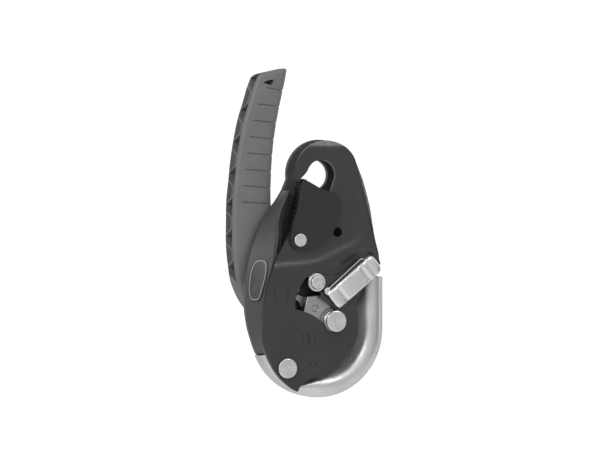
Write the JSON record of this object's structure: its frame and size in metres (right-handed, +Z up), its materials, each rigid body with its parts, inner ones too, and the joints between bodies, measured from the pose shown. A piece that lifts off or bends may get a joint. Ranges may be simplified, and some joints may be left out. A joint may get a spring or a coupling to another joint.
{
  "type": "belay device",
  "caption": "Self-braking descender and belay device with a swinging side plate, a sprung gate, a pivoting cam and a lever handle.",
  "frame": {"origin": "centre of the connector hole, halfway through the rope channel between the side plates", "axes": "+Z up through the connector hole along the device's length, +X to the right seen from the moving side plate, +Y from the moving side plate towards the handle"},
  "size_m": [0.0985, 0.0444, 0.2146],
  "materials": {
    "anodised_plate": "dark grey anodised aluminium",
    "body_plate": "dark grey anodised forged aluminium",
    "brushed_steel": "satin stainless steel",
    "pin_steel": "turned stainless steel",
    "handle_plastic": "grey glass-filled nylon",
    "gate_plastic": "black nylon",
    "label": "blank moulded label"
  },
  "bodies": {
    "frame": {"fixed_side_plate": "body_plate", "wear_plate": "brushed_steel", "friction_pad": "brushed_steel", "pad_rivet_1": "pin_steel", "pad_rivet_2": "pin_steel", "wear_rivet_1": "pin_steel", "wear_rivet_2": "pin_steel", "wear_rivet_3": "pin_steel", "cam_axle": "pin_steel", "axle_washer": "pin_steel", "axle_nut": "pin_steel", "plate_pivot_rivet": "pin_steel", "plate_pivot_spacer": "pin_steel", "flank_badge": "label"},
    "cam": {"cam": "brushed_steel", "cam_bushing": "pin_steel", "drive_pin": "pin_steel", "clutch_disc": "brushed_steel", "catch_pin": "pin_steel"},
    "catch": {"anti_error_catch": "brushed_steel"},
    "handle": {"handle": "handle_plastic", "handle_insert": "pin_steel", "handle_return_spring": "pin_steel", "hub_cap": "handle_plastic", "button_spring": "pin_steel"},
    "button": {"travel_button": "gate_plastic"},
    "side_plate": {"moving_side_plate": "anodised_plate", "gate_rivet": "pin_steel", "brake_rivet": "pin_steel", "gate_spring": "pin_steel"},
    "gate": {"gate": "gate_plastic", "gate_bushing": "pin_steel"},
    "brake": {"auxiliary_brake": "brushed_steel"}
  },
  "joints": [
    {"name": "handle_hinge", "type": "hinge", "parent": "frame", "child": "handle", "pos_m": [0.0087, 0, -0.0948], "axis": [0, -1, 0], "range_deg": [0, 110], "stiffness_Nm_per_rad": 0.12, "springref_deg": -17.48},
    {"name": "cam_hinge", "type": "hinge", "parent": "frame", "child": "cam", "pos_m": [0.0087, 0, -0.0948], "axis": [0, -1, 0], "range_deg": [0, 22]},
    {"name": "catch_hinge", "type": "hinge", "parent": "cam", "child": "catch", "pos_m": [-0.0033, 0, -0.0865], "axis": [0, 1, 0], "range_deg": [0, 12], "stiffness_Nm_per_rad": 0.002, "springref_deg": -17.19},
    {"name": "button_slide", "type": "slide", "parent": "handle", "child": "button", "axis": [0, -1, 0], "range_m": [0, 0.002], "stiffness_N_per_m": 300, "springref_m": -0.001, "deforming": ["button_spring"]},
    {"name": "side_plate_hinge", "type": "hinge", "parent": "frame", "child": "side_plate", "pos_m": [-0.0244, 0, -0.1248], "axis": [0, 1, 0], "range_deg": [0, 32]},
    {"name": "gate_hinge", "type": "hinge", "parent": "side_plate", "child": "gate", "pos_m": [-0.0158, 0, -0.042], "axis": [0, 1, 0], "range_deg": [0, 25], "stiffness_Nm_per_rad": 0.02, "springref_deg": -22.92},
    {"name": "brake_hinge", "type": "hinge", "parent": "side_plate", "child": "brake", "pos_m": [-0.0038, 0, -0.0695], "axis": [0, -1, 0], "range_deg": [0, 8]}
  ],
  "couplings": [
    {"joint": "cam_hinge", "follows": "handle_hinge", "ratio": 0.2}
  ]
}
